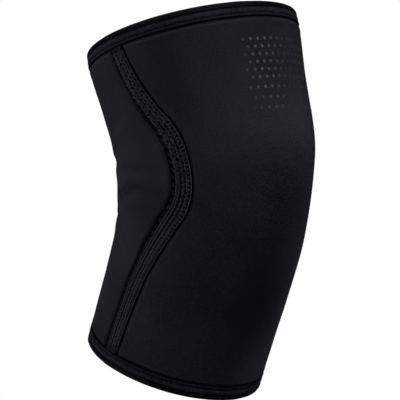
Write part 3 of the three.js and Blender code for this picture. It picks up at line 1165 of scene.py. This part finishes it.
# name, the solid it stands for, side, and the strip's flat width and length
HEMS = [
    ("thigh_binding", "thigh_hem", 1, (0.030, 0.471)),
    ("calf_binding", "calf_hem", -1, (0.030, 0.402)),
]

for name, node, side, cut in HEMS:
    rows = []
    for number, row in enumerate(HEM_ROWS):
        from_rim = np.full_like(HEM_TURN, row * MM)
        along = hem_place(side, from_rim)
        height = hem_waver(HEM_TURN, along, from_rim) - THREAD_SUNK
        points = surface(HEM_TURN, along, -height)
        path = path_object(points, outward(HEM_TURN, along), closed=True)
        sizes = {
            "spacing": STITCH_PITCH,
            "length": 2.3 * MM,
            "thickness": 0.42 * MM,
            "lift": 0.05 * MM,
            "wander": 0.08,
            "seed": 40 + number,
            "thread": hem_thread,
        }
        rows.append(grow(path, STITCHES, **sizes))
    threads = joined(name + "_threads", rows, hem_thread)
    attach(threads, "root")

    strip = hem(name, side)
    strip.data.materials.append(binding)
    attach(strip, "root")
    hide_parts(node)


# The grip dots are a plain block of rubber dots printed on the front of the thigh in dark grey.
# Each is a flat cap that stands a tenth of a millimetre above the jersey.

DOT_COLUMNS = 13
DOT_ROWS = 9
DOT_PITCH = 6 * MM
DOT_RADIUS = 1.3 * MM
DOT_SIDES = 18
DOT_TOP = 0.86
DOT_RISE = 0.1 * MM
DOT_SUNK = 0.06 * MM
DOTS_AT = 0.062
RUBBER_DARK = (0.011, 0.0108, 0.012, 1)
RUBBER_PALE = (0.021, 0.0206, 0.0225, 1)


def field_of_dots():
    """A low round cap on every point, turned to face along the point's own direction."""
    tree = named_group(
        "field of dots",
        "GeometryNodeTree",
        [
            ("Places", "NodeSocketGeometry", None),
            ("Radius", "NodeSocketFloat", DOT_RADIUS),
            ("Height", "NodeSocketFloat", DOT_RISE),
            ("Rubber", "NodeSocketMaterial", None),
        ],
        [("Dots", "NodeSocketGeometry")],
    )
    n = Nodes(tree)
    given = n.add("NodeGroupInput").outputs
    facing = n.add("FunctionNodeAlignRotationToVector", {"Vector": way_up(n)}, axis="Z")
    shape = {
        "Vertices": DOT_SIDES,
        "Radius Top": n.math("MULTIPLY", given["Radius"], DOT_TOP),
        "Radius Bottom": given["Radius"],
        "Depth": given["Height"],
    }
    cap = n.add("GeometryNodeMeshCone", shape).outputs["Mesh"]
    caps = set_out(n, given["Places"], cap, facing.outputs[0], given["Rubber"])
    n.add("NodeGroupOutput", {"Dots": caps})
    return tree


def dot_rubber():
    """Dark grey rubber, a little uneven in shade and gloss."""
    material, n = bare_material("dark grey rubber print")
    speck = dye_at(n)["Speck"]
    colours = {0: speck, 6: RUBBER_DARK, 7: RUBBER_PALE}
    finish = {
        "Base Color": n.add("ShaderNodeMix", colours, data_type="RGBA").outputs[2],
        "Roughness": n.math("MULTIPLY_ADD", speck, 0.2, 0.38),
        "Specular IOR Level": 0.4,
    }
    return skinned(material, n, finish)


rubber = dot_rubber()
dot_angles = []
dot_places = []
for row in range(DOT_ROWS):
    shift = row % 2
    for column in range(DOT_COLUMNS - shift):
        across = (column + shift / 2 - (DOT_COLUMNS - 1) / 2) * DOT_PITCH
        dot_angles.append(across / THIGH_RADIUS)
        dot_places.append(DOTS_AT + (row - (DOT_ROWS - 1) / 2) * DOT_PITCH * math.sqrt(3) / 2)
dot_angles = np.array(dot_angles)
dot_places = np.array(dot_places)
dot_depth = DOT_SUNK - cloth_bumps(plain_point(dot_angles, dot_places))
on_cloth = path_object(surface(dot_angles, dot_places, dot_depth), outward(dot_angles, dot_places))
dot_mesh = grow(on_cloth, field_of_dots(), height=DOT_RISE + DOT_SUNK, rubber=rubber)
dots = joined("grip_dots", [dot_mesh], rubber, smooth=False)
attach(dots, "root")


# The studio is a white floor and backdrop that the camera sees as pure white, and soft boxes placed
# from the camera's side. The camera stands at the photograph's angle.

AZIMUTH = math.radians(-50)
ELEVATION = math.radians(2.1)
DISTANCE = 1.062
LENS = 135
FILM_WIDTH = 36
AIM_RIGHT = -0.00864
AIM_UP = -0.0108
WHITE = (1, 1, 1, 1)
BOX_COLOUR = (0.93, 0.91, 1.0)
FLOOR_HALF = 4.0
FLOOR_GAP = 8 * MM
FLOOR_BOUNCE = 0.3
AIR_GLOW = 0.01

camera_right = Vector((math.cos(AZIMUTH), math.sin(AZIMUTH), 0))
level = math.cos(ELEVATION)
camera_back = Vector((math.sin(AZIMUTH) * level, -math.cos(AZIMUTH) * level, math.sin(ELEVATION)))
camera_up = camera_back.cross(camera_right)
aim = camera_right * AIM_RIGHT + camera_up * AIM_UP

camera_data = bpy.data.cameras.new("camera")
camera_data.lens = LENS
camera_data.sensor_width = FILM_WIDTH
camera = placed("camera", camera_data)
camera.location = aim + camera_back * DISTANCE
camera.rotation_euler = (-camera_back).to_track_quat("-Z", "Y").to_euler()
bpy.context.scene.camera = camera

# name, place to the right, up and towards the camera in metres, width, height and power in watts
LIGHTS = [
    ("left back box", -1.25, 0.55, -0.2, 0.7, 0.7, 5.6),
    ("left front box", -1.0, 0.2, 0.95, 0.7, 0.7, 5.4),
    ("right box", 1.1, 0.9, 0.4, 0.4, 0.4, 12.5),
]

for name, right, up, near, width, height, watts in LIGHTS:
    light = bpy.data.lights.new(name, "AREA")
    light.shape = "RECTANGLE"
    light.size = width
    light.size_y = height
    light.energy = watts
    light.color = BOX_COLOUR
    box = placed(name, light)
    box.location = aim + camera_right * right + camera_up * up + camera_back * near
    box.rotation_euler = (box.location - aim).to_track_quat("Z", "Y").to_euler()
    box.visible_camera = False


def white_surface(name, bounce):
    """Pure white to the camera, and a dim grey to every other ray."""
    material, n = bare_material(name)
    seen = n.add("ShaderNodeLightPath").outputs["Is Camera Ray"]
    white = n.add("ShaderNodeEmission", {"Color": WHITE, "Strength": 1.0}).outputs[0]
    grey = n.add("ShaderNodeBsdfDiffuse", {"Color": (bounce, bounce, bounce, 1)}).outputs[0]
    both = n.add("ShaderNodeMixShader", {0: seen, 1: grey, 2: white}).outputs[0]
    n.add("ShaderNodeOutputMaterial", {"Surface": both})
    return material


floor_z = cad_box[0].z - FLOOR_GAP
signs = [(-1, -1), (1, -1), (1, 1), (-1, 1)]
corners = [(x * FLOOR_HALF, y * FLOOR_HALF, floor_z) for x, y in signs]
floor_mesh = bpy.data.meshes.new("floor")
floor_mesh.from_pydata(corners, [], [(0, 1, 2, 3)])
floor_mesh.materials.append(white_surface("white floor", FLOOR_BOUNCE))
floor = placed("floor", floor_mesh)

world = bpy.data.worlds.new("studio")
world.use_nodes = True
world.node_tree.nodes.clear()
air = Nodes(world.node_tree)
seen = air.add("ShaderNodeLightPath").outputs["Is Camera Ray"]
dim = air.add("ShaderNodeBackground", {"Color": WHITE, "Strength": AIR_GLOW}).outputs[0]
bright = air.add("ShaderNodeBackground", {"Color": WHITE, "Strength": 1.0}).outputs[0]
sky = air.add("ShaderNodeMixShader", {0: seen, 1: dim, 2: bright}).outputs[0]
air.add("ShaderNodeOutputWorld", {"Surface": sky})
bpy.context.scene.world = world
bpy.context.scene.view_settings.view_transform = "Standard"
